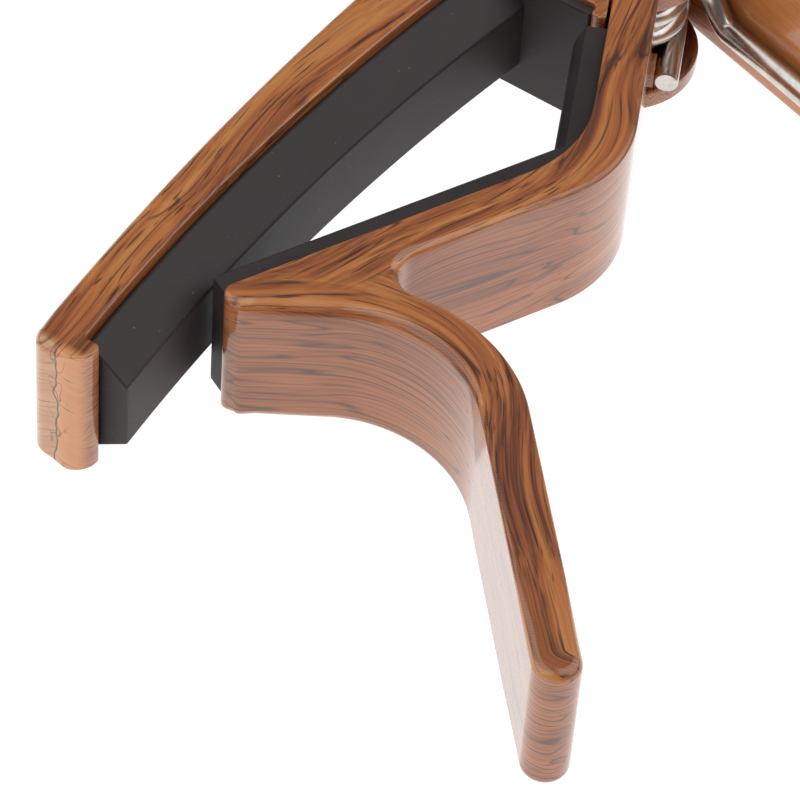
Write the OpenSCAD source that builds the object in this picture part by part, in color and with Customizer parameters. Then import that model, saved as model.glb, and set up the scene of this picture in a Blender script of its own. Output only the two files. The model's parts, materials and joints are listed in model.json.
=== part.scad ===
// Spring-loaded guitar capo, lying on its side with the hinge axis upright.
// Lengths in millimetres, angles in degrees. Plan shapes are drawn round the hinge pin:
// +X runs along the string bar towards the pin, +Y is the back of the bar, +Z is the hinge axis.

/* [Castings] */
// Width of both castings along the hinge axis
body_w = 15; // [15:0.5:18]
// Thickness of the string bar at its free end
bar_end_t = 3.9; // [3.5:0.1:4.5]
// Thickness of the neck arm's outer, sloping section
arm_t = 4.2; // [3.8:0.1:4.6]
// Thickness of the neck arm beside the hinge
arm_hinge_t = 4.3; // [4.2:0.1:4.6]
// Thickness of the trigger lever
trigger_t = 4.4; // [4:0.1:4.8]
// Thickness of the handle lever
handle_t = 4.8; // [4.2:0.1:5.4]
// Sweep of the handle's curved part
handle_sweep = 26; // [10:1:32]

/* [Pads] */
// Radius that the string pad's face is curved to, for a cambered fretboard
fret_r = 250; // [230:5:300]
// Height of the string pad above the bar
string_pad_t = 4.6; // [4:0.1:5]
// Width of the string pad's contact face
string_face_w = 7.6; // [6:0.2:10]
// Thickness of the neck pad
neck_pad_t = 3; // [2.4:0.1:3]
// Bevel round the neck pad's face
neck_bevel = 1; // [0.8:0.1:1.8]

/* [Hinge] */
// Radius of the neck arm's two hinge ears
ear_r = 7.9; // [7.4:0.1:7.9]
// Thickness of each hinge ear
ear_t = 2.2; // [2:0.1:2.2]
// Radius of the hinge pin
pin_r = 2; // [1.6:0.1:2.2]
// Diameter of the spring wire
wire_d = 2.4; // [1.8:0.1:2.4]
// Mean radius of the spring coil
coil_r = 5.3; // [5.2:0.1:5.3]

/* [Hidden] */
$fn = 96;
eps = 0.02;                 // small clearance between the neck pad and the arm's bend
arc_tol = 0.002;            // how far an arc's chords may lie inside it

// Plan vectors
function dir(a) = [cos(a), sin(a)];
function left(a) = [-sin(a), cos(a)];
function dot(p, q) = p[0] * q[0] + p[1] * q[1];
function cross2(p, q) = p[0] * q[1] - p[1] * q[0];
// Where the line through p along angle a meets the line through q along angle b
function meet(p, a, q, b) = p + dir(a) * (cross2(q - p, dir(b)) / cross2(dir(a), dir(b)));
// Where the line through p along angle a leaves the circle of radius r about c
function reach(p, a, c, r) =
    let (u = dir(a), m = dot(p - c, u), k = dot(p - c, p - c) - r * r)
    p + u * (-m + sqrt(m * m - k));
function angle_of(v) = atan2(v[1], v[0]);
// Points of an arc about c from angle a to angle b, no further than arc_tol off the true arc
function arc(c, r, a, b) = let (n = ceil(abs(b - a) * PI / 180 * r / sqrt(8 * arc_tol * r)))
    [for (i = [0 : n]) c + dir(a + (b - a) * i / n) * r];
// Arc of radius r that rounds the corner p of a path that heads along a before it and along b after it
function bend(p, a, b, r) =
    let (turn = (b - a + 540) % 360 - 180, s = sign(turn), back = r * tan(abs(turn) / 2))
    arc(p - dir(a) * back + left(a) * r * s, r, a - 90 * s, a - 90 * s + turn);

// String bar: its face and its back are two arcs
bar_left = -75.95;          // outside of the bar's free end
lip_t = 3.05;               // thickness of the lip at the free end
lip_bottom = 7.85;          // height of the lip's lower edge
bar_bow_x = -42.2;          // where the bowed face is highest
bar_face_y = 11.55;         // height of the bar's face there
knuckle_x = -9.4;           // bar's end face, where it turns down to the hinge
bar_c = [bar_bow_x, bar_face_y - fret_r - string_pad_t];
bar_face_r = fret_r + string_pad_t;
back_r = 376;
back_c = [-28.05, 12.68 + bar_end_t - back_r];
function back_y(x) = back_c[1] + sqrt(back_r * back_r - (x - back_c[0]) * (x - back_c[0]));
pad_right = knuckle_x - 1.1;
lip_r = 2.4;                // rounds the lip's outer lower edge
lip_inner_r = 0.6;          // rounds the lip's edge beside the pad
end_r = 1.8;                // rounds the free end's back edge

// Neck arm: a sloping section and a hinge section, 51 degrees apart
arm_a = -25;                // direction of the sloping section
hinge_a = 26.4;             // direction of the hinge section
arm_corner = [-26.3, -12.2];
arm_bend_r = 13;
arm_tip_x = -61.65;         // end wall of the arm
tip_r = 1.3;
outer_corner = meet(arm_corner - left(arm_a) * arm_t, arm_a,
                    arm_corner - left(hinge_a) * arm_hinge_t, hinge_a);
arm_tip = meet(arm_corner, arm_a, [arm_tip_x, 0], 90);

// Trigger: a curve of radius trigger_bend_r, then a straight lever with a round end
front_p = [-60.3, -0.9];    // a point of the arm's front wall
front_a = -56;
trigger_p = [-60.9, -24.6]; // a point of the lever's front wall
trigger_a = 43.2;
trigger_bend_r = 13;
front_corner = meet(front_p, front_a, trigger_p, trigger_a);
half_turn = (180 - trigger_a + front_a) / 2;
bend_tan = trigger_bend_r * tan(half_turn);
bend_out = front_corner - dir(trigger_a) * bend_tan;
bend_c = bend_out + left(trigger_a) * trigger_bend_r;
trigger_back_r = trigger_bend_r + trigger_t;
trigger_len = 27.6;         // straight part of the lever, to the centre of its round end
trigger_end = bend_out - dir(trigger_a) * trigger_len - left(trigger_a) * trigger_t / 2;
tip_low = meet(front_p, front_a, [arm_tip_x, 0], 90);
crotch_r = 2.7;
// Centre of the crotch's fillet: crotch_r off the arm's outer wall and off the lever's back
crotch_line = outer_corner - left(arm_a) * crotch_r;
crotch_c = reach(crotch_line + dir(180 + arm_a) * 30, arm_a, bend_c, trigger_back_r + crotch_r);
crotch_a = angle_of(crotch_c - bend_c);

// Handle: a straight part beside the hinge, then a curve towards the trigger
handle_a = -106;            // direction from the hinge
handle_off = 8.5;           // distance of its inner wall from the pin's axis
handle_straight = 20;
handle_bend_r = 70;
handle_n = left(handle_a);
handle_root = handle_n * handle_off;
handle_mid = handle_root + dir(handle_a) * handle_straight;
handle_c = handle_mid - handle_n * handle_bend_r;
handle_end = handle_c + dir(handle_a + 90 - handle_sweep) * (handle_bend_r + handle_t / 2);
hub_r = 13;
hub_c = reach(handle_n * (handle_off + handle_t - hub_r), handle_a + 180, back_c, back_r - hub_r);

// Hinge stack
run_gap = 0.1;              // between ears, washers and cheeks
washer_t = 0.4;
cheek_r = 6.2;
cheek_t = 1;
ear_gap = 0.25;             // round the ears, in the bar arm
cavity_r = 6.6;             // spring chamber
bore_gap = 0.04;            // running clearance of the pin
head_r = 3.4;
head_t = 0.8;
cheek_low = ear_t + washer_t + run_gap;
coil_low = cheek_low + cheek_t + 0.1;
coil_turns = 2;
coil_pitch = (body_w - 2 * coil_low - wire_d) / coil_turns;
coil_z0 = coil_low + wire_d / 2;
coil_z1 = body_w - coil_z0;

// The row's origin is the middle of the base of the box round the part
box_low = [min(bar_left, trigger_end[0] - trigger_t / 2), handle_end[1] - handle_t / 2];
box_high = [hub_c[0] + hub_r, back_c[1] + back_r];
shift = [-(box_low[0] + box_high[0]) / 2, -(box_low[1] + box_high[1]) / 2, 0];

module slab(z0, z1) {
    translate([0, 0, z0]) linear_extrude(z1 - z0) children();
}

module disc(r, z0, z1) {
    translate([0, 0, z0]) cylinder(r = r, h = z1 - z0);
}

// Outline of the string bar, its knuckle, the hub and the handle
module bar_plan() {
    tip_gap = 0.3;                          // from the knuckle's tip to the neck arm
    tip_p = arm_corner + left(hinge_a) * tip_gap;
    tip_left = knuckle_x - 1.3;
    tip_right = -5;                         // inside the spring chamber
    lip_top = -2.35;
    wall_start = 0.5;                       // where the handle's inner wall starts
    left_a = angle_of([bar_left, back_y(bar_left)] - back_c);
    lip_face_a = acos((bar_left + lip_t - bar_c[0]) / bar_face_r);
    knuckle_face_a = acos((knuckle_x - bar_c[0]) / bar_face_r);
    handle_out = handle_a + 90 - handle_sweep;
    polygon(concat(
        // Back of the bar, and round its free end
        arc(back_c, back_r, angle_of(hub_c - back_c), left_a - 0.25),
        bend([bar_left, back_y(bar_left)], left_a + 90, 270, end_r),
        bend([bar_left, lip_bottom], 270, 360, lip_r),
        bend([bar_left + lip_t, lip_bottom], 0, 90, lip_inner_r),
        // Face of the bar, and the knuckle
        arc(bar_c, bar_face_r, lip_face_a, knuckle_face_a),
        [[knuckle_x, lip_top], [tip_left, lip_top], meet(tip_p, hinge_a, [tip_left, 0], 90),
         meet(tip_p, hinge_a, [tip_right, 0], 90), [0, 0], handle_root + dir(handle_a) * wall_start],
        // Handle and hub
        arc(handle_c, handle_bend_r, handle_a + 90, handle_out),
        arc(handle_end, handle_t / 2, handle_out + 180, handle_out + 360),
        arc(handle_c, handle_bend_r + handle_t, handle_out, handle_a + 90),
        arc(hub_c, hub_r, handle_a + 90, angle_of(hub_c - back_c))
    ));
}

module bar_arm() {
    color([0.6, 0.34, 0.17]) translate(shift) difference() {
        union() {
            difference() {
                slab(0, body_w) bar_plan();
                disc(ear_r + ear_gap, -1, cheek_low);
                disc(ear_r + ear_gap, body_w - cheek_low, body_w + 1);
                disc(cavity_r, cheek_low, body_w - cheek_low);
            }
            disc(cheek_r, cheek_low, cheek_low + cheek_t);
            disc(cheek_r, body_w - cheek_low - cheek_t, body_w - cheek_low);
            // Webs that carry the two cheeks from the hub
            for (z = [cheek_low, body_w - cheek_low - cheek_t])
                slab(z, z + cheek_t) intersection() {
                    circle(cavity_r + 0.5);
                    polygon([[0, 0], dir(0) * 12, dir(60) * 14, dir(120) * 14, dir(175) * 12]);
                }
        }
        disc(pin_r + bore_gap, -1, body_w + 1);
    }
}

// Outline of the neck arm and its trigger lever
module trigger_plan() {
    to_pin = 29;                            // from the arm's corner into the hinge ears
    polygon(concat(
        [arm_corner + dir(hinge_a) * to_pin],
        bend(arm_corner, hinge_a + 180, arm_a + 180, arm_bend_r),
        bend(arm_tip, arm_a + 180, 270, tip_r),
        bend(tip_low, 270, 360 + front_a, tip_r),
        // Lever: curve, round end, and back up to the crotch
        bend(front_corner, front_a, trigger_a - 180, trigger_bend_r),
        arc(trigger_end, trigger_t / 2, trigger_a + 90, trigger_a + 270),
        arc(bend_c, trigger_back_r, trigger_a - 90, crotch_a),
        arc(crotch_c, crotch_r, crotch_a + 180, arm_a + 90),
        bend(outer_corner, arm_a, hinge_a, arm_bend_r),
        [outer_corner + dir(hinge_a) * to_pin]
    ));
}

// Raised seat on the neck arm's outer wall, under the end of the spring's short leg
module spring_seat() {
    seat_w = 1.8;
    fit = 0.03;
    from_wall = dot(outer_corner, -left(hinge_a)) - 0.3;
    slab(coil_z0 - seat_w / 2, coil_z0 + seat_w / 2) rotate(hinge_a)
        translate([-short_len, wire_d / 2 + fit - coil_r])
            square([3, coil_r - wire_d / 2 - fit - from_wall]);
}

module trigger_arm() {
    color([0.66, 0.38, 0.18]) translate(shift) difference() {
        union() {
            slab(0, body_w) difference() {
                trigger_plan();
                circle(ear_r - 0.5);
            }
            // Web between the two ears, beside the spring chamber
            slab(ear_t, body_w - ear_t) intersection() {
                trigger_plan();
                difference() {
                    circle(ear_r);
                    circle(cavity_r + 0.2);
                }
            }
            disc(ear_r, 0, ear_t);
            disc(ear_r, body_w - ear_t, body_w);
            spring_seat();
        }
        disc(pin_r + bore_gap, -1, body_w + 1);
        disc(head_r + bore_gap, -1, head_t + run_gap);
        disc(head_r + bore_gap, body_w - head_t - run_gap, body_w + 1);
    }
}

// Silicone pad of the bar: a ridge with sloping sides, and a thin lining down the knuckle
module string_pad() {
    side = 0.5;
    half = string_face_w / 2;
    mid = body_w / 2;
    lining_low = -2.3;
    fit = 0.02;
    color([0.16, 0.16, 0.17]) translate(shift) union() {
        intersection() {
            translate([bar_c[0], bar_c[1], 0]) rotate_extrude($fn = 720) polygon([
                [fret_r, mid - half], [bar_face_r - fit, side],
                [bar_face_r - fit, body_w - side], [fret_r, mid + half]
            ]);
            translate([bar_left + lip_t + fit, 0, 0])
                cube([pad_right + 0.5 - bar_left - lip_t, 40, body_w]);
        }
        difference() {
            slab(side, body_w - side) intersection() {
                translate(bar_c) circle(bar_face_r - fit, $fn = 720);
                translate([pad_right, lining_low]) square([knuckle_x - fit - pad_right, 30]);
            }
            translate([pad_right - 1, lining_low - 1, -1]) cube([1, 1, body_w + 2]);
        }
    }
}

// One leg of the neck pad: bevelled strip along angle a from p, len long
module pad_leg(p, a, len) {
    side = 0.9;
    edge = neck_pad_t - neck_bevel;
    translate([p[0], p[1], 0]) rotate([0, 0, a]) rotate([90, 0, 90]) linear_extrude(len) polygon([
        [0, side], [edge, side], [neck_pad_t, side + neck_bevel],
        [neck_pad_t, body_w - side - neck_bevel], [edge, body_w - side], [0, body_w - side]
    ]);
}

// Everything under the base line of the neck pad's leg along angle a, and a little above it
module under_base(a) {
    above = 0.3;
    translate(arm_corner + left(a) * above) rotate(a) translate([-20, -40]) square([40, 40]);
}

// Silicone pad of the neck arm, bent into a shallow V
module neck_pad() {
    arm_len = norm(arm_tip - arm_corner) - tip_r;
    hinge_len = 17.4;
    past = 4;                               // how far each leg runs past the bend, inside the other
    edge = neck_pad_t - neck_bevel;
    color([0.13, 0.13, 0.14]) translate(shift) difference() {
        union() {
            difference() {
                pad_leg(arm_corner - dir(arm_a) * arm_len, arm_a, arm_len + past);
                slab(-1, body_w + 1) under_base(hinge_a);
            }
            difference() {
                pad_leg(arm_corner - dir(hinge_a) * past, hinge_a, hinge_len + past);
                slab(-1, body_w + 1) under_base(arm_a);
            }
        }
        slab(-1, body_w + 1) {
            // Room for the arm's inner bend
            translate([0, eps]) polygon(concat([arm_corner - [0, 1]],
                bend(arm_corner, hinge_a + 180, arm_a + 180, arm_bend_r)));
            // Bevelled ends
            translate(arm_corner - dir(arm_a) * arm_len + left(arm_a) * edge)
                rotate(arm_a + 45) translate([-4, 0]) square([8, 8]);
            translate(arm_corner + dir(hinge_a) * hinge_len + left(hinge_a) * edge)
                rotate(hinge_a - 45) translate([-4, 0]) square([8, 8]);
        }
    }
}

// Torsion spring: short leg on the neck arm's seat, coil, bend down, long leg beside the handle
short_len = 8.2;
bend_r = 2.2;
long_len = 20.4;
leg_drop = 4.8;             // how far the wire comes down from the top turn to the long leg
leg_drop_from = 0.3;        // share of the bend after which it starts down
leg_drop_len = 6;           // along this much wire
turn_start = hinge_a - 90;
coil_steps = 24 * coil_turns;
bend_steps = 10;
bend_turn = hinge_a - handle_a;
wire_in = dir(turn_start) * coil_r;
wire_bend_c = dir(turn_start) * (coil_r + bend_r);
wire_out = wire_bend_c + handle_n * bend_r;
function smooth(t) = let (c = min(max(t, 0), 1)) c * c * (3 - 2 * c);
function coil_point(f) = let (p = dir(turn_start + 360 * coil_turns * f) * coil_r)
    [p[0], p[1], coil_z0 + (coil_z1 - coil_z0) * f];
bend_len = bend_r * bend_turn * PI / 180;
// Height of the wire u past the start of the bend
function leg_z(u) = coil_z1 - leg_drop * smooth((u - leg_drop_from * bend_len) / leg_drop_len);
function bend_point(f) = let (p = wire_bend_c + dir(turn_start + 180 - bend_turn * f) * bend_r)
    [p[0], p[1], leg_z(bend_len * f)];
function leg_point(s) = let (p = wire_out + dir(handle_a) * s) [p[0], p[1], leg_z(bend_len + s)];
wire_path = concat(
    [for (s = [short_len, 5, 2]) [wire_in[0] - dir(hinge_a)[0] * s, wire_in[1] - dir(hinge_a)[1] * s, coil_z0]],
    [for (i = [0 : coil_steps]) coil_point(i / coil_steps)],
    [for (i = [1 : bend_steps]) bend_point(i / bend_steps)],
    [for (s = [0.8 : 0.8 : 4]) leg_point(s)],
    [leg_point(8), leg_point(14), leg_point(long_len)]
);

// A round wire along a list of points
module wire(path, r, sides = 10) {
    n = len(path);
    function unit(v) = v / norm(v);
    function tangent(i) = unit(path[min(i + 1, n - 1)] - path[max(i - 1, 0)]);
    function ring(i) = let (t = tangent(i), s = unit(cross(t, [0, 0, 1])), u = cross(s, t))
        [for (k = [0 : sides - 1]) path[i] + r * (cos(360 * k / sides) * s + sin(360 * k / sides) * u)];
    points = [for (i = [0 : n - 1]) each ring(i)];
    sides_f = [for (i = [0 : n - 2], k = [0 : sides - 1])
        let (a = i * sides + k, b = i * sides + (k + 1) % sides) [a, b, b + sides, a + sides]];
    caps = [[for (k = [sides - 1 : -1 : 0]) k], [for (k = [0 : sides - 1]) (n - 1) * sides + k]];
    polyhedron(points, concat(sides_f, caps));
}

module torsion_spring() {
    color([0.8, 0.79, 0.77]) translate(shift) wire(wire_path, wire_d / 2);
}

// Nylon sleeve on the pin, inside the coil
module spring_sleeve() {
    color([0.2, 0.2, 0.2]) translate(shift) difference() {
        disc(coil_r - wire_d / 2 - 0.4, cheek_low + cheek_t + 0.05, body_w - cheek_low - cheek_t - 0.05);
        disc(pin_r + bore_gap, 0, body_w);
    }
}

module pivot_pin() {
    color([0.75, 0.75, 0.75]) translate(shift) union() {
        disc(pin_r, head_t - 0.4, body_w - 0.05);
        disc(head_r, body_w - head_t - 0.05, body_w - 0.05);
    }
}

// Press-on cap that closes the pin's lower end
module pin_cap() {
    color([0.75, 0.75, 0.75]) translate(shift) difference() {
        disc(head_r, 0.05, head_t + 0.05);
        disc(pin_r, head_t - 0.4, head_t + 1);
    }
}

// Nylon washer between an ear and a cheek
module washer(z) {
    color([0.85, 0.84, 0.8]) translate(shift) difference() {
        disc(cheek_r - 0.4, z, z + washer_t);
        disc(pin_r + bore_gap, z - 1, z + 2);
    }
}

module washer_top() { washer(body_w - ear_t - washer_t - run_gap / 2); }
module washer_bottom() { washer(ear_t + run_gap / 2); }

bar_arm();
trigger_arm();
string_pad();
neck_pad();
torsion_spring();
spring_sleeve();
pivot_pin();
pin_cap();
washer_top();
washer_bottom();
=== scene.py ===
import json
import math

import bmesh
import bpy
from mathutils import Matrix, Vector


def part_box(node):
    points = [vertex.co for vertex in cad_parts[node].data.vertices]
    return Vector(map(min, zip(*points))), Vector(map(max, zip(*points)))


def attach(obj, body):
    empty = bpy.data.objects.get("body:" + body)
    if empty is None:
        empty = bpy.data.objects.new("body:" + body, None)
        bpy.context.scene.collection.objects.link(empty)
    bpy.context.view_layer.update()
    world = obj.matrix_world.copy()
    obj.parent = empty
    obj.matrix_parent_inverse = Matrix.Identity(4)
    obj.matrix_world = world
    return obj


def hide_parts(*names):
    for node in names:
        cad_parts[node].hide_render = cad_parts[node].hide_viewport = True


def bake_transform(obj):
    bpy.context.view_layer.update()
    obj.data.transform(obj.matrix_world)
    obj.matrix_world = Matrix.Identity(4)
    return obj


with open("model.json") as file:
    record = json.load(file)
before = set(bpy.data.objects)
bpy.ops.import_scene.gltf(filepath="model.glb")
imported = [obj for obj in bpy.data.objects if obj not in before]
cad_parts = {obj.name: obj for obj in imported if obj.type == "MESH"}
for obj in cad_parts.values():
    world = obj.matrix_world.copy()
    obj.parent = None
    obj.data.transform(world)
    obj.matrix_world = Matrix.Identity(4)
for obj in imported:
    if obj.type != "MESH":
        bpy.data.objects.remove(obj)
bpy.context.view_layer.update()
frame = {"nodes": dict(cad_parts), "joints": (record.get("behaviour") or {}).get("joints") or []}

# Lengths are in millimetres round the hinge's axis, as the castings' plan is drawn: +X along the
# string bar towards the hinge, +Y the back of the bar. MM and place() turn them into the frame's metres.
MM = 0.001
JOINT = frame["joints"][0]
PIVOT = Vector(JOINT["pos_m"][:2]) / MM
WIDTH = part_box("bar_arm")[1].z / MM


def direction(degrees):
    """Unit vector along an angle in the plan."""
    return Vector((math.cos(math.radians(degrees)), math.sin(math.radians(degrees))))


def leftward(degrees):
    return direction(degrees + 90)


def place(point, z):
    """A point of the plan at height z, in the frame's metres."""
    return Vector(((PIVOT.x + point[0]) * MM, (PIVOT.y + point[1]) * MM, z * MM))


# Castings: the centres and angles that the outlines turn about
ARM_A = -25
HINGE_A = 26.4
ARM_CORNER = Vector((-26.3, -12.2))
ARM_TIP = Vector((-61, -1))
ARM_BEND_R = 13
ARM_BEND_C = (ARM_CORNER + direction(HINGE_A) * ARM_BEND_R * math.tan(math.radians((HINGE_A - ARM_A) / 2))
              + leftward(HINGE_A) * ARM_BEND_R)
LEVER_A = 43.2
FRONT_A = -56
LEVER_BEND_R = 13
LEVER_BEND_C = Vector((-67.71, -13.16))
LEVER_LEN = 27.6                # straight part, to the centre of its round end
LEVER_END_R = 2.2
LEVER_START = 88                # length along its grain's path where the lever's bend starts
LEVER_END = LEVER_START + LEVER_BEND_R * math.radians(FRONT_A + 180 - LEVER_A) + LEVER_LEN + LEVER_END_R
LEVER_TIP = Vector((-77.4, -43.1))
HANDLE_A = -106
HANDLE_SWEEP = 26
HANDLE_BACK_R = 74.8
HANDLE_C = Vector((-64.63, -2.27))
HUB_R = 13
HUB_C = Vector((1.0, 2.42))
HUB_TOP_A = 85.4
BACK_R = 376
BACK_C = Vector((-28.05, -359.42))
BAR_LEFT = -75.95
PAD_FACE_R = 250
PAD_RIDGE = 4.6                 # height of the string pad above the bar
BAR_FACE_R = PAD_FACE_R + PAD_RIDGE
BAR_C = Vector((-42.2, 11.55 - BAR_FACE_R))
PAD_RIGHT = -10.5
KNUCKLE_X = -9.4

# Hinge stack
EAR_R = 7.9
EAR_T = 2.2
POCKET_R = 8.15
POCKET_T = 2.7
CHEEK_R = 6.2
CHEEK_T = 1.0
CHAMBER_R = 6.6
WEB_R = 6.8
BORE_R = 2.04
HEAD_BORE_R = 3.44
HEAD_BORE_T = 0.9
ARM_HINGE_T = 4.3               # thickness of the neck arm beside the hinge
SEAT_LEN = 3.0                  # the spring's seat on its outer wall
SEAT_W = 1.8
SEAT_FIT = 0.03                 # between the seat and the wire
SEAT_ROOT = 0.3                 # how deep the seat goes into the arm
SEAT_EDGE_R = 0.1

# Rounding of the castings' edges
EDGE_R = 0.5                    # trigger casting
BAR_EDGE_R = 0.8                # bar casting
PAD_EDGE_R = 0.2                # beside the pads
TIP_R = 1.5                     # round the neck arm's free end and front wall
END_R = 1.0                     # at the lever's and the bar's ends
EAR_FILLET = 0.35
CORNER_R = 0.5
SHARP_TURN = 18                 # smaller turns of an outline, in degrees, are left as they are
CAD_EDGE_R = 0.15               # on the nodes that keep their CAD shape


# Outlines ------------------------------------------------------------------------------------

def cap_outline(node):
    """Outline of a CAD node's top face, anticlockwise."""
    bm = bmesh.new()
    bm.from_mesh(frame["nodes"][node].data)
    bmesh.ops.remove_doubles(bm, verts=bm.verts, dist=1e-6)
    top = max(v.co.z for v in bm.verts)
    cap = {f for f in bm.faces if all(abs(v.co.z - top) < 1e-6 for v in f.verts)}
    bm.edges.index_update()
    edges = {e for e in bm.edges if sum(f in cap for f in e.link_faces) == 1}
    loops = []
    while edges:
        edge = min(edges, key=lambda e: e.index)
        edges.discard(edge)
        start, at = edge.verts
        loop = [start.co.xy / MM - PIVOT]
        while at is not start:
            loop.append(at.co.xy / MM - PIVOT)
            edge = next(e for e in at.link_edges if e in edges)
            edges.discard(edge)
            at = edge.other_vert(at)
        loops.append(loop)
    bm.free()
    outline = max(loops, key=lambda loop: abs(area(loop)))
    return outline if area(outline) > 0 else outline[::-1]


def area(loop):
    return sum(a.x * b.y - a.y * b.x for a, b in zip(loop, loop[1:] + loop[:1])) / 2


def open_at_hinge(loop, radius, reach=4.5):
    """The outline without its stretch inside a circle round the hinge: its two ends run on inwards."""
    count = len(loop)
    inside = [p.length < radius + 0.03 for p in loop]
    first = next(i for i in range(count) if inside[i] and not inside[i - 1])
    last = next(i for i in range(count) if inside[i] and not inside[(i + 1) % count])
    kept = [loop[(last + 1 + i) % count] for i in range((first - last - 1) % count)]
    end = loop[first] + (loop[first] - kept[-1]).normalized() * reach
    start = loop[last] + (loop[last] - kept[0]).normalized() * reach
    return [start] + kept + [end]


def turn_at(loop, i):
    """Angle that the outline turns through at a vertex, positive to the left."""
    a = loop[i] - loop[i - 1]
    b = loop[(i + 1) % len(loop)] - loop[i]
    return math.atan2(a.x * b.y - a.y * b.x, a.dot(b))


def soften(loop, radius, steps=6):
    """Rounds each sharp corner of the outline."""
    result = []
    for i, corner in enumerate(loop):
        turn = turn_at(loop, i)
        before = loop[i - 1] - corner
        after = loop[(i + 1) % len(loop)] - corner
        if abs(turn) < math.radians(SHARP_TURN):
            result.append(corner)
            continue
        back = min(radius * math.tan(abs(turn) / 2), 0.45 * before.length, 0.45 * after.length)
        r = back / math.tan(abs(turn) / 2)
        start = corner + before.normalized() * back
        side = 1 if turn > 0 else -1
        heading = -before.normalized()
        centre = start + Vector((-heading.y, heading.x)) * r * side
        arm = start - centre
        for k in range(steps + 1):
            a = turn * k / steps
            result.append(centre + Vector((arm.x * math.cos(a) - arm.y * math.sin(a),
                                           arm.x * math.sin(a) + arm.y * math.cos(a))))
    return result


def subdivided(loop, longest=1.5):
    """The outline with long edges cut up."""
    result = []
    for a, b in zip(loop, loop[1:] + loop[:1]):
        count = max(1, math.ceil((b - a).length / longest))
        result += [a.lerp(b, k / count) for k in range(count)]
    return result


def fillet_radii(loop, wanted):
    """A rounding radius for each vertex: wanted(point), but less than the outline's own radius
    where that is small, and changing gently along the outline."""
    count = len(loop)
    radii = []
    for i in range(count):
        turn = turn_at(loop, i)
        span = ((loop[i] - loop[i - 1]).length + (loop[(i + 1) % count] - loop[i]).length) / 2
        limit = 0.9 * span / turn if turn > math.radians(0.5) else TIP_R
        radii.append(min(wanted(loop[i]), limit))
    for _ in range(2):
        for step in (1, -1):
            for i in range(count)[::step]:
                j = (i - step) % count
                radii[i] = min(radii[i], radii[j] + 0.45 * (loop[i] - loop[j]).length)
    return radii


# Meshes --------------------------------------------------------------------------------------

def new_object(name, bm):
    """An object from a bmesh whose vertices are already in the frame's metres."""
    bmesh.ops.recalc_face_normals(bm, faces=bm.faces)
    if bm.calc_volume(signed=True) < 0:
        bmesh.ops.reverse_faces(bm, faces=bm.faces)
    mesh = bpy.data.meshes.new(name)
    bm.to_mesh(mesh)
    bm.free()
    obj = bpy.data.objects.new(name, mesh)
    bpy.context.scene.collection.objects.link(obj)
    return obj


def skin(bm, rings):
    """Faces from each ring of vertices to the next, and over both ends."""
    for low, high in zip(rings, rings[1:]):
        for i in range(len(low)):
            j = (i + 1) % len(low)
            bm.faces.new((low[i], low[j], high[j], high[i]))
    bm.faces.new(rings[0][::-1])
    bm.faces.new(rings[-1])


def rounded_prism(name, loop, z0, z1, radii, steps=6):
    """The outline extruded from z0 to z1, its two edges rounded by a radius given for each vertex."""
    count = len(loop)
    handle_wall_painted_light = []
    for i in range(count):
        a = (loop[i] - loop[i - 1]).normalized()
        b = (loop[(i + 1) % count] - loop[i]).normalized()
        normal = Vector((-a.y - b.y, a.x + b.x))
        handle_wall_painted_light.append(normal / max(0.3, 1 + a.dot(b)))
    bm = bmesh.new()
    rings = []
    angles = [math.pi / 2 * k / steps for k in range(steps + 1)]
    for side, order in ((z0, reversed(angles)), (z1, angles)):
        for angle in order:
            ring = []
            for point, normal, r in zip(loop, handle_wall_painted_light, radii):
                drop = r * (1 - math.sin(angle))
                z = side + drop if side == z0 else side - drop
                ring.append(bm.verts.new(place(point + normal * r * (1 - math.cos(angle)), z)))
            rings.append(ring)
    skin(bm, rings)
    return new_object(name, bm)


def disc(name, radius, z0, z1, fillet=0.0, sides=120):
    """A disc round the hinge's axis."""
    loop = [direction(360 * k / sides) * radius for k in range(sides)]
    if fillet:
        return rounded_prism(name, loop, z0, z1, [fillet] * sides, steps=4)
    bm = bmesh.new()
    skin(bm, [[bm.verts.new(place(p, z)) for p in loop] for z in (z0, z1)])
    return new_object(name, bm)


def combine(obj, others, operation):
    """Boolean of obj with each of the others, which are used up."""
    for other in others:
        modifier = obj.modifiers.new("boolean", "BOOLEAN")
        modifier.operation = operation
        modifier.solver = "EXACT"
        modifier.object = other
        bpy.context.view_layer.update()
        depsgraph = bpy.context.evaluated_depsgraph_get()
        mesh = bpy.data.meshes.new_from_object(obj.evaluated_get(depsgraph))
        obj.modifiers.clear()
        old = obj.data
        obj.data = mesh
        bpy.data.meshes.remove(old)
        bpy.data.meshes.remove(other.data)


def shade(obj, degrees=35):
    """Smooth shading up to an angle, with flat faces kept flat."""
    mesh = obj.data
    mesh.name = obj.name
    mesh.polygons.foreach_set("use_smooth", [True] * len(mesh.polygons))
    mesh.set_sharp_from_angle(angle=math.radians(degrees))
    modifier = obj.modifiers.new("weighted_normal", "WEIGHTED_NORMAL")
    modifier.keep_sharp = True
    modifier.weight = 60
    return obj


def near(distance, full, none):
    """1 within the distance full, falling to 0 at the distance none."""
    return max(0.0, min(1.0, (none - distance) / (none - full)))


def trigger_rounding(p):
    """How far the trigger casting's edge is rounded at a point of its outline."""
    from_pad = min((p - ARM_CORNER).dot(leftward(ARM_A)), (p - ARM_CORNER).dot(leftward(HINGE_A)))
    if from_pad > -0.3:
        return PAD_EDGE_R
    if p.length < EAR_R + 2:
        return EAR_FILLET
    tip = (TIP_R - EDGE_R) * near((p - ARM_TIP).length, full=7, none=24)
    end = (END_R - EDGE_R) * near((p - LEVER_TIP).length, full=3, none=9)
    return EDGE_R + max(tip, end)


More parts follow.
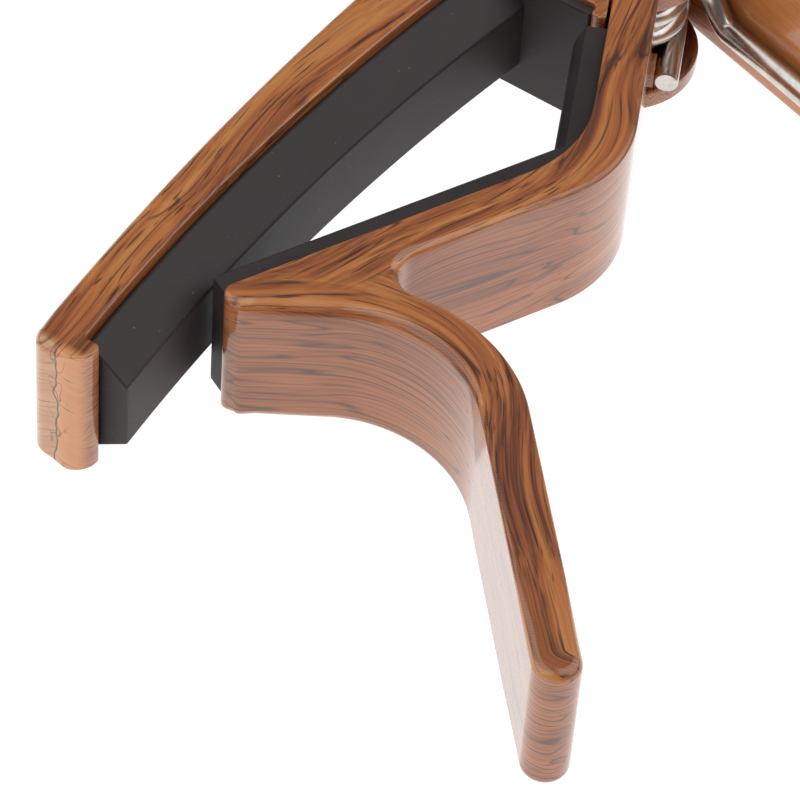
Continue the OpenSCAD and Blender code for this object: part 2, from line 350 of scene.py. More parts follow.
def bar_rounding(p):
    """The same for the bar casting."""
    if (p - BAR_C).length < BAR_FACE_R + 0.2 and p.x < KNUCKLE_X + 6 and p.y > -6:
        return PAD_EDGE_R
    return BAR_EDGE_R + (END_R - BAR_EDGE_R) * near(p.x - BAR_LEFT, full=1, none=4)


def spring_seat():
    """Raised seat on the neck arm's outer wall, under the end of the spring's short leg."""
    along, across = direction(HINGE_A), leftward(HINGE_A)
    wall = ARM_CORNER.dot(across) - ARM_HINGE_T
    top = SEAT_FIT + WIRE_R - COIL_R
    end = SEAT_LEN - SHORT_LEG
    corners = [(-SHORT_LEG, top), (end, top), (end, wall + SEAT_ROOT), (-SHORT_LEG, wall + SEAT_ROOT)]
    loop = [along * x + across * y for x, y in corners]
    return rounded_prism("seat", loop, COIL_LOW - SEAT_W / 2, COIL_LOW + SEAT_W / 2, [SEAT_EDGE_R] * 4, 3)


def trigger_casting():
    """Neck arm, trigger lever, the two hinge ears and the spring's seat."""
    outline = subdivided(soften(open_at_hinge(cap_outline("trigger_arm"), EAR_R), CORNER_R))
    arm = rounded_prism("trigger_casting", outline, 0, WIDTH, fillet_radii(outline, trigger_rounding))
    ears = [disc("ear", EAR_R, 0, EAR_T, EAR_FILLET), disc("ear", EAR_R, WIDTH - EAR_T, WIDTH, EAR_FILLET)]
    combine(arm, [disc("slot", WEB_R, EAR_T, WIDTH - EAR_T)], "DIFFERENCE")
    combine(arm, ears + [spring_seat()], "UNION")
    bores = [disc("bore", BORE_R, -1, WIDTH + 1), disc("head", HEAD_BORE_R, -1, HEAD_BORE_T),
             disc("head", HEAD_BORE_R, WIDTH - HEAD_BORE_T, WIDTH + 1)]
    combine(arm, bores, "DIFFERENCE")
    return shade(arm)


def bar_casting():
    """String bar, knuckle, hub with its two cheeks, and handle."""
    outline = subdivided(soften(open_at_hinge(cap_outline("bar_arm"), POCKET_R), CORNER_R))
    bar = rounded_prism("bar_casting", outline, 0, WIDTH, fillet_radii(outline, bar_rounding))
    pockets = [disc("pocket", POCKET_R, -1, POCKET_T), disc("pocket", POCKET_R, WIDTH - POCKET_T, WIDTH + 1)]
    chamber = disc("chamber", CHAMBER_R, POCKET_T + CHEEK_T, WIDTH - POCKET_T - CHEEK_T)
    cheeks = [disc("cheek", CHEEK_R, POCKET_T, POCKET_T + CHEEK_T),
              disc("cheek", CHEEK_R, WIDTH - POCKET_T - CHEEK_T, WIDTH - POCKET_T)]
    combine(bar, pockets + [chamber], "DIFFERENCE")
    combine(bar, cheeks, "UNION")
    combine(bar, [disc("bore", BORE_R, -1, WIDTH + 1)], "DIFFERENCE")
    return shade(bar)


# Pads ----------------------------------------------------------------------------------------

PAD_BEVEL = 1.0
PAD_EDGE = 2.0                  # height of the neck pad's upright edge
PAD_SIDE = 0.9                  # from the casting's face to the neck pad
PAD_SOFT = 0.6                  # rounding of the neck pad's own edges
PAD_HINGE_LEN = 17.4            # length of the neck pad's section beside the hinge
PAD_BEND_REACH = 6              # how far from the bend the rows lean to meet it
PAD_FLOOR_FIT = 0.96            # share of the arm's rounding that the pad's underside fills
RIDGE_HALF_FACE = 3.8           # string pad: half the width of its face
RIDGE_SIDE = 0.5                # from the casting's face to the string pad
RIDGE_SOFT = 0.45               # rounding of its long edges
RIDGE_END_SOFT = 0.3            # and of its free end
RIDGE_ROWS = 60
PAD_FIT = 0.02                  # between the string pad and the bar
LINING_LOW = -2.3               # lower edge of the lining on the knuckle
LINING_CORNER_R = 0.3
LINING_EDGE_R = 0.25
GRID_ZONE = 2.4                 # along the neck pad's border, where the grid is fine
GRID_FINE = 0.12


def spread(length, coarse):
    """Places from 0 to length, close together near both ends."""
    edge = [GRID_FINE * k for k in range(int(GRID_ZONE / GRID_FINE))]
    inner = length - 2 * edge[-1]
    count = max(1, round(inner / coarse))
    middle = [edge[-1] + inner * k / count for k in range(1, count)]
    return edge + middle + [length - e for e in reversed(edge)]


def soft_min(a, b, radius):
    """The smaller of two lengths, with the change from one to the other rounded."""
    h = max(0.0, min(1.0, 0.5 + 0.5 * (b - a) / radius))
    return b + (a - b) * h - radius * h * (1 - h)


def neck_pad_point(offset, height):
    """A point of the bent pad: its distance along the arm past the bend, and its height off the arm."""
    half_turn = math.radians((HINGE_A - ARM_A) / 2)
    if abs(offset) < 1e-9:
        return ARM_CORNER + leftward((ARM_A + HINGE_A) / 2) * height / math.cos(half_turn)
    angle = ARM_A if offset < 0 else HINGE_A
    shift = height * math.tan(half_turn) * max(0.0, 1 - abs(offset) / PAD_BEND_REACH)
    return ARM_CORNER + direction(angle) * (offset + math.copysign(shift, offset)) + leftward(angle) * height


def neck_pad_floor(offset):
    """Height of the pad's underside, which follows the rounded inner bend of the arm."""
    reach = ARM_BEND_R * math.tan(math.radians((HINGE_A - ARM_A) / 2))
    inside = reach - abs(offset)
    if inside <= 0:
        return 0.0
    return (ARM_BEND_R - math.sqrt(max(0.0, ARM_BEND_R ** 2 - inside ** 2))) * PAD_FLOOR_FIT


def neck_silicone():
    """Pad of the neck arm: a bevelled strip, bent into a shallow V with the arm."""
    arm_len = (ARM_CORNER.x - (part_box("neck_pad")[0].x / MM - PIVOT.x)) / math.cos(math.radians(ARM_A))
    total = arm_len + PAD_HINGE_LEN
    across = spread(WIDTH - 2 * PAD_SIDE, 0.7)
    along = spread(total, 0.8)
    # The bend itself is a row of the grid
    along[min(range(len(along)), key=lambda i: abs(along[i] - arm_len))] = arm_len

    def height(s, z):
        edge = soft_min(min(s, total - s), min(z, across[-1] - z), 0.5)
        return soft_min(PAD_EDGE + edge, PAD_EDGE + PAD_BEVEL, PAD_SOFT)

    bm = bmesh.new()
    top = [[bm.verts.new(place(neck_pad_point(s - arm_len, height(s, z)), PAD_SIDE + z)) for z in across]
           for s in along]
    floor = [[bm.verts.new(place(neck_pad_point(s - arm_len, neck_pad_floor(s - arm_len)), PAD_SIDE + z))
              for z in across] for s in along]
    rows, columns = len(along), len(across)
    for i in range(rows - 1):
        for j in range(columns - 1):
            bm.faces.new((top[i][j], top[i + 1][j], top[i + 1][j + 1], top[i][j + 1]))
            bm.faces.new((floor[i][j], floor[i][j + 1], floor[i + 1][j + 1], floor[i + 1][j]))
    for i in range(rows - 1):
        for j in (0, columns - 1):
            bm.faces.new((top[i][j], floor[i][j], floor[i + 1][j], top[i + 1][j]))
    for j in range(columns - 1):
        for i in (0, rows - 1):
            bm.faces.new((top[i][j], top[i][j + 1], floor[i][j + 1], floor[i][j]))
    return shade(new_object("neck_silicone", bm), 40)


def string_ridge(left):
    """The ridge. Its profile is drawn as a radius from the bar's centre and a height off mid-width."""
    middle = WIDTH / 2
    half_root = middle - RIDGE_SIDE
    root = BAR_FACE_R - PAD_FIT
    corners = [(PAD_FACE_R, -RIDGE_HALF_FACE), (root, -half_root), (root, half_root),
               (PAD_FACE_R, RIDGE_HALF_FACE)]
    profile = soften([Vector(c) for c in corners], RIDGE_SOFT, 4)
    centre = Vector((sum(p.x for p in profile), sum(p.y for p in profile))) / len(profile)
    bm = bmesh.new()

    def ring(x, inset):
        """The profile, drawn in a little, where it crosses the upright plane at x."""
        drawn_in = [p + (centre - p).normalized() * inset for p in profile]
        return [bm.verts.new(place((x, BAR_C.y + math.sqrt(p.x ** 2 - (x - BAR_C.x) ** 2)), middle + p.y))
                for p in drawn_in]

    start = left + RIDGE_END_SOFT
    end = PAD_RIGHT + 0.5       # inside the lining
    rings = [ring(left, RIDGE_END_SOFT), ring(left + 0.1, 0.1)]
    rings += [ring(start + (end - start) * k / RIDGE_ROWS, 0.0) for k in range(RIDGE_ROWS + 1)]
    skin(bm, rings)
    return new_object("string_silicone", bm)


def string_silicone():
    """Pad of the string bar: a ridge with sloping sides along the bar, and a lining down the knuckle."""
    ridge = string_ridge(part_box("string_pad")[0].x / MM - PIVOT.x)
    right = KNUCKLE_X - PAD_FIT
    top = BAR_C.y + math.sqrt((BAR_FACE_R - PAD_FIT) ** 2 - (KNUCKLE_X - BAR_C.x) ** 2)
    corners = [(PAD_RIGHT, LINING_LOW), (right, LINING_LOW), (right, top), (PAD_RIGHT, top)]
    outline = subdivided(soften([Vector(c) for c in corners], LINING_CORNER_R, 4), 1.0)
    radii = fillet_radii(outline, lambda p: LINING_EDGE_R)
    combine(ridge, [rounded_prism("lining", outline, RIDGE_SIDE, WIDTH - RIDGE_SIDE, radii, 3)], "UNION")
    return shade(ridge, 40)


# Spring --------------------------------------------------------------------------------------

WIRE_R = 1.2
COIL_R = 5.3
COIL_TURNS = 2
COIL_LOW = 5.0
COIL_HIGH = 10.0
SHORT_LEG = 8.2
LEG_BEND_R = 2.2
LONG_LEG = 20.4
LEG_DROP = 4.8
LEG_DROP_FROM = 0.3             # share of the bend after which the wire starts down
LEG_DROP_OVER = 6
TURN_START = HINGE_A - 90
SHORT_STEPS = 8                 # rings along the short leg, each turn, the bend and the long leg
TURN_STEPS = 48
BEND_STEPS = 24
LONG_STEPS = 60


def tube(name, path, radius, cut, sides=28, chamfer=0.16):
    """A round wire along a path of (plan point, height). Each end that is cut has a small chamfer."""
    points = [place(p, z) for p, z in path]
    bm = bmesh.new()

    def ring(centre, tangent, r):
        side = tangent.cross(Vector((0, 0, 1))).normalized()
        other = side.cross(tangent).normalized()
        turns = [2 * math.pi * k / sides for k in range(sides)]
        return [bm.verts.new(centre + (side * math.cos(t) + other * math.sin(t)) * r) for t in turns]

    rings = []
    last = len(points) - 1
    for i, p in enumerate(points):
        tangent = (points[min(i + 1, last)] - points[max(i - 1, 0)]).normalized()
        if i == 0 and cut[0]:
            rings.append(ring(p, tangent, (radius - chamfer) * MM))
            rings.append(ring(p + tangent * chamfer * MM, tangent, radius * MM))
        elif i == last and cut[1]:
            rings.append(ring(p - tangent * chamfer * MM, tangent, radius * MM))
            rings.append(ring(p, tangent, (radius - chamfer) * MM))
        else:
            rings.append(ring(p, tangent, radius * MM))
    skin(bm, rings)
    return shade(new_object(name, bm))


def spring_pieces():
    """Short leg on the neck arm, coil round the pin, and long leg beside the handle."""
    start = direction(TURN_START) * COIL_R
    short = [(start - direction(HINGE_A) * SHORT_LEG * (1 - k / SHORT_STEPS), COIL_LOW)
             for k in range(SHORT_STEPS + 1)]
    steps = TURN_STEPS * COIL_TURNS
    coil = [(direction(TURN_START + 360 * COIL_TURNS * k / steps) * COIL_R,
             COIL_LOW + (COIL_HIGH - COIL_LOW) * k / steps) for k in range(steps + 1)]
    bend_c = direction(TURN_START) * (COIL_R + LEG_BEND_R)
    turn = HINGE_A - HANDLE_A
    bend_len = LEG_BEND_R * math.radians(turn)

    def leg_z(u):
        """Height of the wire u past the start of the bend."""
        t = max(0.0, min(1.0, (u - LEG_DROP_FROM * bend_len) / LEG_DROP_OVER))
        return COIL_HIGH - LEG_DROP * t * t * (3 - 2 * t)

    leg = [(bend_c + direction(TURN_START + 180 - turn * k / BEND_STEPS) * LEG_BEND_R,
            leg_z(bend_len * k / BEND_STEPS)) for k in range(BEND_STEPS + 1)]
    out = leg[-1][0]
    leg += [(out + direction(HANDLE_A) * LONG_LEG * k / LONG_STEPS, leg_z(bend_len + LONG_LEG * k / LONG_STEPS))
            for k in range(1, LONG_STEPS + 1)]
    return (tube("spring_short_leg", short, WIRE_R, cut=(True, False)),
            tube("spring_coil", coil, WIRE_R, cut=(False, False)),
            tube("spring_long_leg", leg, WIRE_R, cut=(False, True)))


# Materials -----------------------------------------------------------------------------------

def linear(hex_colour):
    """A display colour such as "B06535" as linear red, green, blue, alpha."""
    values = [int(hex_colour[i:i + 2], 16) / 255 for i in (0, 2, 4)]
    return tuple(v / 12.92 if v <= 0.04045 else ((v + 0.055) / 1.055) ** 2.4 for v in values) + (1.0,)


class Graph:
    """A material's node tree, with short calls for the nodes it needs."""

    def __init__(self, name):
        self.material = bpy.data.materials.new(name)
        self.material.use_nodes = True
        self.tree = self.material.node_tree
        self.tree.nodes.clear()
        self.shader = self.tree.nodes.new("ShaderNodeBsdfPrincipled")
        output = self.tree.nodes.new("ShaderNodeOutputMaterial")
        self.tree.links.new(self.shader.outputs["BSDF"], output.inputs["Surface"])
        self.coords = self.tree.nodes.new("ShaderNodeTexCoord")

    def feed(self, socket, value):
        if isinstance(value, bpy.types.NodeSocket):
            self.tree.links.new(value, socket)
        else:
            socket.default_value = value

    def math(self, operation, *values):
        node = self.tree.nodes.new("ShaderNodeMath")
        node.operation = operation
        for socket, value in zip(node.inputs, values):
            self.feed(socket, value)
        return node.outputs[0]

    def add(self, a, b):
        return self.math("ADD", a, b)

    def sub(self, a, b):
        return self.math("SUBTRACT", a, b)

    def mul(self, a, b):
        return self.math("MULTIPLY", a, b)

    def step(self, value, low, high):
        """0 below low to 1 above high."""
        node = self.tree.nodes.new("ShaderNodeMapRange")
        node.interpolation_type = "SMOOTHSTEP"
        self.feed(node.inputs["Value"], value)
        node.inputs["From Min"].default_value = low
        node.inputs["From Max"].default_value = high
        return node.outputs["Result"]

    def blend(self, factor, a, b):
        """a where the factor is 0, b where it is 1, for numbers."""
        node = self.tree.nodes.new("ShaderNodeMix")
        node.data_type = "FLOAT"
        for socket, value in zip((node.inputs[0], node.inputs[2], node.inputs[3]), (factor, a, b)):
            self.feed(socket, value)
        return node.outputs[0]

    def tint(self, factor, a, b):
        """The same for colours."""
        node = self.tree.nodes.new("ShaderNodeMix")
        node.data_type = "RGBA"
        for socket, value in zip((node.inputs[0], node.inputs[6], node.inputs[7]), (factor, a, b)):
            self.feed(socket, value)
        return node.outputs[2]

    def join(self, x, y, z):
        node = self.tree.nodes.new("ShaderNodeCombineXYZ")
        for socket, value in zip(node.inputs, (x, y, z)):
            self.feed(socket, value)
        return node.outputs[0]

    def split(self, vector):
        node = self.tree.nodes.new("ShaderNodeSeparateXYZ")
        self.feed(node.inputs[0], vector)
        return node.outputs

    def noise(self, vector, scale, detail, roughness=0.5):
        node = self.tree.nodes.new("ShaderNodeTexNoise")
        self.feed(node.inputs["Vector"], vector)
        for name, value in (("Scale", scale), ("Detail", detail), ("Roughness", roughness)):
            node.inputs[name].default_value = value
        return node.outputs["Fac"]

    def ramp(self, factor, stops):
        node = self.tree.nodes.new("ShaderNodeValToRGB")
        self.feed(node.inputs[0], factor)
        elements = node.color_ramp.elements
        while len(elements) < len(stops):
            elements.new(0.5)
        for element, (at, colour) in zip(elements, stops):
            element.position = at
            element.color = linear(colour)
        return node.outputs["Color"]

    def bump(self, height, strength, distance):
        node = self.tree.nodes.new("ShaderNodeBump")
        node.inputs["Strength"].default_value = strength
        node.inputs["Distance"].default_value = distance
        self.feed(node.inputs["Height"], height)
        return node.outputs["Normal"]

    def plan_point(self):
        """Object coordinates in millimetres round the hinge's axis, and the height."""
        x, y, z = self.split(self.coords.outputs["Object"])
        return (self.sub(self.mul(x, 1 / MM), PIVOT.x), self.sub(self.mul(y, 1 / MM), PIVOT.y),
                self.mul(z, 1 / MM))

    def along_bend(self, x, y, centre, radius, low, high, start):
        """Length along, and distance off, a path that runs straight, round an arc about centre from
        angle high down to angle low, and straight on. The length is start where the arc begins."""
        middle = (low + high) / 2
        c, s = direction(middle)
        dx, dy = self.sub(x, centre.x), self.sub(y, centre.y)
        u = self.add(self.mul(dx, c), self.mul(dy, s))
        v = self.sub(self.mul(dy, c), self.mul(dx, s))
        angle = self.math("ARCTAN2", v, u)
        half = math.radians(high - low) / 2
        angle = self.math("MAXIMUM", self.math("MINIMUM", angle, half), -half)
        ca, sa = self.math("COSINE", angle), self.math("SINE", angle)
        off = self.sub(self.add(self.mul(u, ca), self.mul(v, sa)), radius)
        past = self.sub(self.mul(v, ca), self.mul(u, sa))
        length = self.sub(self.add(self.mul(self.sub(half, angle), radius), start), past)
        return length, off


def bar_grain(g, x, y):
    """Paths that the bar casting's grain follows: for each its share, how much lighter it is, and how
    far its grain strays."""
    bar = g.along_bend(x, y, BACK_C, BACK_R, 80, 98, 0)
    hub = g.along_bend(x, y, HUB_C, HUB_R, HANDLE_A + 90, HUB_TOP_A, 40)
    handle = g.along_bend(x, y, HANDLE_C, HANDLE_BACK_R, HANDLE_A + 90 - HANDLE_SWEEP, HANDLE_A + 90, 70)
    # The handle's path is 0.09 lighter as painted light, which brightens its inner wall where it lies in shade
    return [(bar, 1.0, 0.035, 8.0), (hub, g.step(x, -12, -6), 0.02, 14.0),
            (handle, g.step(g.mul(y, -1), 8, 22), 0.09, 14.0)]


def trigger_grain(g, x, y):
    """Paths of the trigger casting's grain: the neck arm, then its front wall and the lever."""
    arm = g.along_bend(x, y, ARM_BEND_C, ARM_BEND_R, ARM_A - 90, HINGE_A - 90, 29)
    lever = g.along_bend(x, y, LEVER_BEND_C, LEVER_BEND_R, LEVER_A - 90, FRONT_A + 90, LEVER_START)
    waver = g.mul(g.sub(g.noise(g.join(g.mul(x, 0.35), g.mul(y, 0.35), 4.0), 1.0, 2.0), 0.5), 4.0)
    depth = g.add(lever[1], waver)
    by_front = g.sub(1.0, g.step(depth, 1.5, 5.5))
    past_arm = g.mul(g.step(arm[1], 4.2, 6.5), g.sub(1.0, g.step(depth, 7.0, 10.0)))
    return [(arm, 1.0, 0.01, 14.0), (lever, g.math("MAXIMUM", by_front, past_arm), 0.01, 14.0)]


def wood_figure(g, path, z, wall, seed, lighter, stray):
    """Colour of the printed grain along one path, and its fine relief. The grain is softer on walls."""
    along, across = path
    # Slow waves of the grain, wide over the faces and slight over the walls
    drift = g.noise(g.join(g.add(g.mul(along, 0.034), seed), g.mul(across, 0.06), 1.7), 1.0, 1.0)
    lift = g.noise(g.join(g.add(g.mul(along, 0.045), seed), 6.3, g.mul(z, 0.07)), 1.0, 1.0)
    t = g.add(g.mul(across, g.sub(1.0, g.step(along, LEVER_END - 3.0, LEVER_END - 0.3))),
              g.mul(g.sub(drift, 0.5), stray))
    h = g.add(z, g.mul(g.sub(lift, 0.5), 3.6))

    def grain(lengthwise, crosswise, detail, rough=0.6):
        return g.noise(g.join(g.add(g.mul(along, lengthwise), seed), g.mul(t, crosswise),
                              g.mul(h, crosswise)), 1.0, detail, rough)

    figure = grain(0.013, 0.40, 1.0)
    streak = grain(0.020, 1.15, 3.0, 0.55)
    fibre = grain(0.09, 5.5, 2.0, 0.65)
    tone = g.add(g.add(g.mul(figure, 0.42), g.mul(streak, 0.44)), g.mul(fibre, 0.14))
    tone = g.add(g.blend(g.mul(wall, 0.55), tone, 0.52), lighter)
    wood = g.ramp(tone, [(0.33, "3A1A10"), (0.41, "6C361C"), (0.47, "9A552A"), (0.54, "B86D36"),
                         (0.64, "CC8849")])
    # Growth lines: thin and dark, even on the walls and arched on the faces
    line_at = g.add(g.add(g.mul(h, 0.80), g.mul(t, 0.30)), g.mul(figure, 7.0))
    wave = g.add(g.mul(g.math("SINE", g.mul(line_at, 2 * math.pi)), 0.5), 0.5)
    on_face = g.step(grain(0.035, 0.9, 2.0), 0.38, 0.62)
    on_wall = g.step(grain(0.02, 0.9, 2.0), 0.30, 0.52)
    strength = g.blend(wall, on_face, on_wall)
    line = g.mul(g.mul(g.math("POWER", wave, 10.0), strength), 0.85)
    wood = g.tint(line, wood, linear("2E150E"))
    # Finer lines between them on the walls, where the short dashes of the faces are few
    fine = g.math("SINE", g.mul(g.add(g.mul(h, 2.2), g.mul(figure, 6.0)), 2 * math.pi))
    fine = g.math("POWER", g.add(g.mul(fine, 0.5), 0.5), 6.0)
    wood = g.tint(g.mul(g.mul(fine, wall), 0.45), wood, linear("4A2012"))
    dash = g.step(grain(0.085, 3.0, 1.0, 0.5), 0.60, 0.70)
    dash = g.mul(dash, g.blend(wall, 0.75, 0.12))
    return g.tint(dash, wood, linear("2B140D")), fibre


def printed_wood(name, paths, seed):
    """Rosewood-grain transfer print under a gloss clear coat. The grain follows the casting's arms."""
    g = Graph(name)
    x, y, z = g.plan_point()
    facing_up = g.math("ABSOLUTE", g.split(g.coords.outputs["Normal"])[2])
    wall = g.step(g.sub(1.0, facing_up), 0.25, 0.95)
    wood, relief = None, None
    for number, (path, share, lighter, stray) in enumerate(paths(g, x, y)):
        colour, fibre = wood_figure(g, path, z, wall, seed + 2.9 * number, lighter, stray)
        wood = colour if wood is None else g.tint(share, wood, colour)
        relief = fibre if relief is None else g.blend(share, relief, fibre)
    wood = g.tint(g.mul(wall, 0.16), wood, linear("B4673A"))
    # Dots of the print, drawn out over the rounded edges
    edge = g.mul(g.step(facing_up, 0.08, 0.35), g.sub(1.0, g.step(facing_up, 0.95, 0.999)))
    hatch = g.math("SINE", g.mul(g.add(g.add(x, g.mul(y, 0.35)), g.mul(z, 0.5)), 2 * math.pi * 3.2))
    wood = g.tint(g.mul(g.mul(g.step(hatch, -0.3, 0.9), edge), 0.09), wood, linear("E0A265"))
    shader = g.shader
    g.feed(shader.inputs["Base Color"], wood)
    g.feed(shader.inputs["Roughness"], g.add(0.36, g.mul(relief, 0.2)))
    g.feed(shader.inputs["Normal"], g.bump(relief, 0.12, 0.00003))
    peel = g.noise(g.coords.outputs["Object"], 1300.0, 2.0)
    g.feed(shader.inputs["Coat Normal"], g.bump(peel, 0.20, 0.00004))
    shader.inputs["Coat Weight"].default_value = 1.0
    shader.inputs["Coat Roughness"].default_value = 0.10
    shader.inputs["Coat IOR"].default_value = 1.55
    shader.inputs["IOR"].default_value = 1.45
    return g, wood


def bar_print():
    """The bar's print is gathered at its end face, with thin lines that meet at a dark seam. The end face's
    pale colours are painted light, as if the face were lit.
    """
    g, wood = printed_wood("bar_print", bar_grain, 3.7)
    x, y, z = g.plan_point()
    # Painted light: the handle's inner wall, which lies in shade, is tinted pale orange as if lit
    handle_wall_painted_light = g.step(g.mul(g.split(g.coords.outputs["Normal"])[0], -1), 0.5, 0.9)
    wood = g.tint(g.mul(g.mul(handle_wall_painted_light, g.step(g.mul(y, -1), 3, 12)), 0.6), wood, linear("E3924E"))
    at_end = g.step(g.mul(x, -1), -BAR_LEFT - 1.7, -BAR_LEFT - 0.5)
    pull = g.noise(g.join(3.0, g.mul(y, 0.10), g.mul(z, 0.22)), 1.0, 2.0, 0.55)
    side = g.sub(y, g.add(10.6, g.mul(g.sub(pull, 0.5), 3.4)))
    seam = g.sub(1.0, g.step(g.math("ABSOLUTE", side), 0.03, 0.15))
    loops = g.noise(g.join(8.0, g.mul(y, 0.55), g.mul(z, 0.30)), 1.0, 1.0)
    loop = g.sub(1.0, g.step(g.math("ABSOLUTE", g.sub(loops, 0.52)), 0.0, 0.018))
    loop = g.mul(loop, g.sub(1.0, g.step(g.math("ABSOLUTE", side), 0.5, 1.3)))
    # Lines slope down to the seam, many on the back's side and few on the pad's side
    back = g.step(side, -0.1, 0.3)
    slope = g.add(z, g.mul(g.math("ABSOLUTE", side), 0.55))
    uneven = g.noise(g.join(1.0, g.mul(y, 0.12), g.mul(slope, 0.9)), 1.0, 2.0)
    wave = g.math("SINE", g.mul(g.add(g.mul(slope, 1.25), g.mul(uneven, 2.4)), 2 * math.pi))
    line = g.math("POWER", g.add(g.mul(wave, 0.5), 0.5), 22.0)
    line = g.mul(line, g.blend(back, g.step(uneven, 0.56, 0.60), g.step(uneven, 0.36, 0.58)))
    dark = g.math("MAXIMUM", g.math("MAXIMUM", seam, g.mul(loop, 0.8)), g.mul(line, 0.75))
    # Painted light: these pale colours stand for the light on the end face; the seam, loops and lines over them
    # are the print
    end_face_light_and_print = g.tint(back, linear("DE9357"), linear("C98A58"))
    end_face_light_and_print = g.tint(g.mul(g.step(uneven, 0.35, 0.7), 0.35), end_face_light_and_print, linear("E5AE78"))
    end_face_light_and_print = g.tint(dark, end_face_light_and_print, linear("4A2C28"))
    g.feed(g.shader.inputs["Base Color"], g.tint(at_end, wood, end_face_light_and_print))
    return g.material


def trigger_print():
    return printed_wood("trigger_print", trigger_grain, 11.3)[0].material


def silicone():
    """Matte black silicone with a fine moulded texture and a little dust."""
    g = Graph("silicone")
    where = g.coords.outputs["Object"]
    cloud = g.noise(where, 160.0, 3.0, 0.6)
    colour = g.ramp(cloud, [(0.35, "241C1D"), (0.65, "302728")])
    dust = g.step(g.noise(where, 3400.0, 0.0), 0.79, 0.85)
    patch = g.step(g.noise(where, 220.0, 1.0), 0.48, 0.64)
    colour = g.tint(g.mul(g.mul(dust, patch), 0.45), colour, linear("8E8680"))
    g.feed(g.shader.inputs["Base Color"], colour)
    g.feed(g.shader.inputs["Roughness"], g.add(0.5, g.mul(cloud, 0.14)))
    g.feed(g.shader.inputs["Normal"], g.bump(g.noise(where, 2600.0, 2.0), 0.25, 0.00003))
    g.shader.inputs["Specular IOR Level"].default_value = 0.5
    return g.material


def nickel():
    """Bright plated wire with faint drawing marks."""
    g = Graph("nickel_plating")
    marks = g.noise(g.coords.outputs["Object"], 700.0, 3.0, 0.6)
    g.feed(g.shader.inputs["Base Color"], g.ramp(marks, [(0.3, "BDB8B2"), (0.7, "DAD6D0")]))
    g.feed(g.shader.inputs["Roughness"], g.add(0.19, g.mul(marks, 0.10)))
    g.feed(g.shader.inputs["Normal"], g.bump(marks, 0.08, 0.00002))
    g.shader.inputs["Metallic"].default_value = 1.0
    return g.material


def turned_steel():
    """Pin and cap: turning marks in rings round the axis."""
    g = Graph("turned_steel")
    x, y, z = g.plan_point()
    radius = g.math("SQRT", g.add(g.mul(x, x), g.mul(y, y)))
    rings = g.noise(g.join(g.mul(radius, 9.0), g.mul(z, 9.0), 0.0), 1.0, 2.0)
    g.feed(g.shader.inputs["Base Color"], g.ramp(rings, [(0.3, "B8B6B2"), (0.7, "D6D4CF")]))
    g.feed(g.shader.inputs["Roughness"], g.add(0.32, g.mul(rings, 0.16)))
    g.feed(g.shader.inputs["Normal"], g.bump(rings, 0.3, 0.00002))
    g.shader.inputs["Metallic"].default_value = 1.0
    return g.material


def nylon():
    """Black nylon of the sleeve and the washers."""
    g = Graph("nylon")
    where = g.coords.outputs["Object"]
    mottle = g.noise(where, 700.0, 3.0)
    g.feed(g.shader.inputs["Base Color"], g.ramp(mottle, [(0.3, "1B1B1C"), (0.7, "2A2A2B")]))
    g.feed(g.shader.inputs["Roughness"], g.add(0.42, g.mul(mottle, 0.15)))
    g.feed(g.shader.inputs["Normal"], g.bump(mottle, 0.2, 0.00003))
    return g.material


def studio_floor():
    """Plain pale floor that glows a little, so that it stays white under the soft light."""
    g = Graph("studio_floor")
    haze = g.noise(g.coords.outputs["Object"], 6.0, 2.0)
    g.feed(g.shader.inputs["Base Color"], g.ramp(haze, [(0.3, "6E6E6E"), (0.7, "747474")]))
    g.shader.inputs["Roughness"].default_value = 0.9
    g.shader.inputs["Emission Color"].default_value = (1.0, 1.0, 1.0, 1.0)
    g.shader.inputs["Emission Strength"].default_value = FLOOR_GLOW
    return g.material


def paint(obj, material):
    obj.data.materials.clear()
    obj.data.materials.append(material)


def ease_edges(obj, width):
    """Small rounding of a CAD node's sharp edges."""
    modifier = obj.modifiers.new("eased", "BEVEL")
    modifier.width = width * MM
    modifier.segments = 3
    modifier.limit_method = "ANGLE"
    modifier.angle_limit = math.radians(50)
    shade(obj, 30)


# The object ----------------------------------------------------------------------------------

bar = bar_casting()
paint(bar, bar_print())
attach(bar, "bar")
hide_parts("bar_arm")

trigger = trigger_casting()
paint(trigger, trigger_print())
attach(trigger, "jaw")
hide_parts("trigger_arm")

rubber = silicone()
string_piece = string_silicone()
paint(string_piece, rubber)
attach(string_piece, "bar")
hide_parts("string_pad")

neck_piece = neck_silicone()
paint(neck_piece, rubber)
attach(neck_piece, "jaw")
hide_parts("neck_pad")

plating = nickel()
short_leg, coil, long_leg = spring_pieces()
for piece in (short_leg, coil, long_leg):
    paint(piece, plating)
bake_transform(coil)
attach(short_leg, "jaw")
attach(long_leg, "bar")
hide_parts("torsion_spring")

steel = turned_steel()
nylon_black = nylon()
for node, material in (("pivot_pin", steel), ("pin_cap", steel), ("spring_sleeve", nylon_black),
                       ("washer_top", nylon_black), ("washer_bottom", nylon_black)):
    paint(frame["nodes"][node], material)
    ease_edges(frame["nodes"][node], CAD_EDGE_R)

# Stage ---------------------------------------------------------------------------------------

FLOOR_HALF = 1.5                # in metres, as the drop is
FLOOR_DROP = 0.0002             # just under the object
FLOOR_GLOW = 1.08
WORLD_COLOUR = (0.95, 0.97, 1.0, 1.0)
WORLD_STRENGTH = 0.12


def floor_sheet():
    bm = bmesh.new()
    corners = [(-1, -1), (1, -1), (1, 1), (-1, 1)]
    bm.faces.new([bm.verts.new((x * FLOOR_HALF, y * FLOOR_HALF, -FLOOR_DROP)) for x, y in corners])
    return new_object("floor", bm)


def make_world():
    world = bpy.data.worlds.new("studio")
    bpy.context.scene.world = world
    world.use_nodes = True
    background = world.node_tree.nodes["Background"]
    background.inputs["Color"].default_value = WORLD_COLOUR
    background.inputs["Strength"].default_value = WORLD_STRENGTH


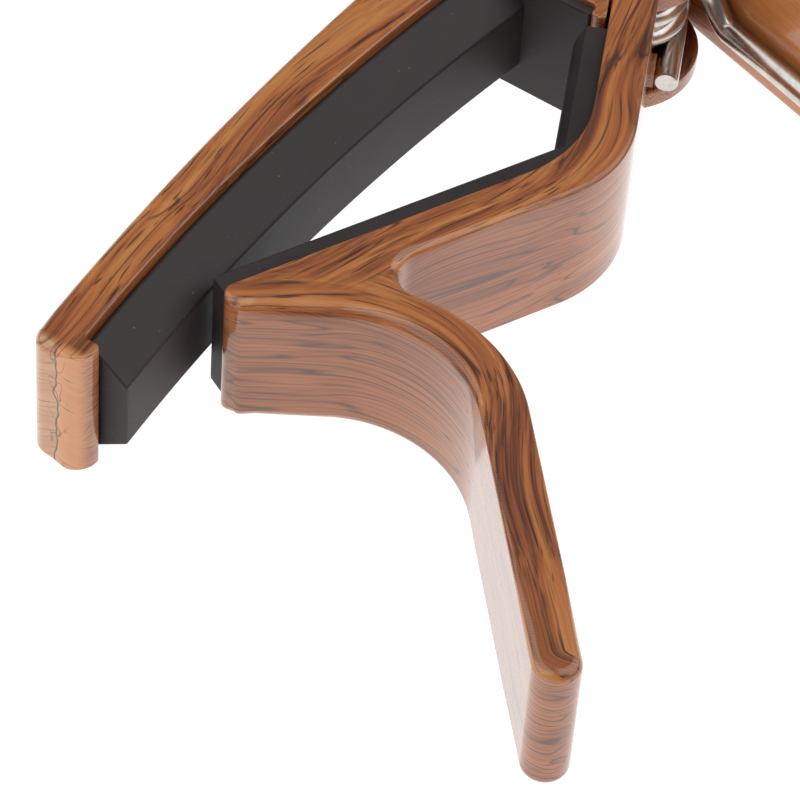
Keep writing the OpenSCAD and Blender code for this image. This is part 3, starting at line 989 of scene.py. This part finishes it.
def look_along(view, up):
    """Rotation of a camera or light that looks along view, with up as its picture's upward side."""
    back = -view.normalized()
    side = up.cross(back).normalized()
    return Matrix((side, back.cross(side), back)).transposed().to_4x4()


def softbox(name, azimuth, elevation, distance, size, power):
    """An area light that points at the object from an azimuth and elevation round it."""
    light = bpy.data.lights.new(name, "AREA")
    light.shape = "SQUARE"
    light.size = size
    light.energy = power
    obj = bpy.data.objects.new(name, light)
    level = direction(azimuth) * math.cos(math.radians(elevation))
    away = Vector((level.x, level.y, math.sin(math.radians(elevation))))
    obj.matrix_world = Matrix.Translation(away * distance) @ look_along(-away, Vector((0, 0, 1)))
    bpy.context.scene.collection.objects.link(obj)


VIEW_AZ = 31.68                 # direction that the camera looks in, in plan
VIEW_EL = 48.0                  # how far it looks down
VIEW_ROLL = 4.56
VIEW_DISTANCE = 390.0
VIEW_TARGET = Vector((-23.515, 5.400, 7.5))
LENS = 196.97
SENSOR = 36.0


def make_camera():
    """The camera, turned about its own axis by the roll."""
    elevation = math.radians(VIEW_EL)
    plan = direction(VIEW_AZ)
    forward = Vector((plan.x * math.cos(elevation), plan.y * math.cos(elevation), -math.sin(elevation)))
    right = Vector((plan.y, -plan.x, 0))
    up = right.cross(forward)
    roll = math.radians(VIEW_ROLL)
    x_axis = right * math.cos(roll) + up * math.sin(roll)
    y_axis = up * math.cos(roll) - right * math.sin(roll)
    data = bpy.data.cameras.new("camera")
    data.lens = LENS
    data.sensor_width = SENSOR
    data.clip_start = 0.01
    data.clip_end = 10.0
    camera = bpy.data.objects.new("camera", data)
    turn = Matrix((x_axis, y_axis, -forward)).transposed().to_4x4()
    camera.matrix_world = Matrix.Translation(VIEW_TARGET * MM - forward * VIEW_DISTANCE * MM) @ turn
    bpy.context.scene.collection.objects.link(camera)
    bpy.context.scene.camera = camera


floor = floor_sheet()
paint(floor, studio_floor())
make_world()
softbox("key", azimuth=VIEW_AZ - 80, elevation=50, distance=1.1, size=1.5, power=9.8)
softbox("fill", azimuth=VIEW_AZ + 95, elevation=50, distance=1.1, size=1.5, power=8.2)
make_camera()
bpy.context.scene.view_settings.view_transform = "Standard"
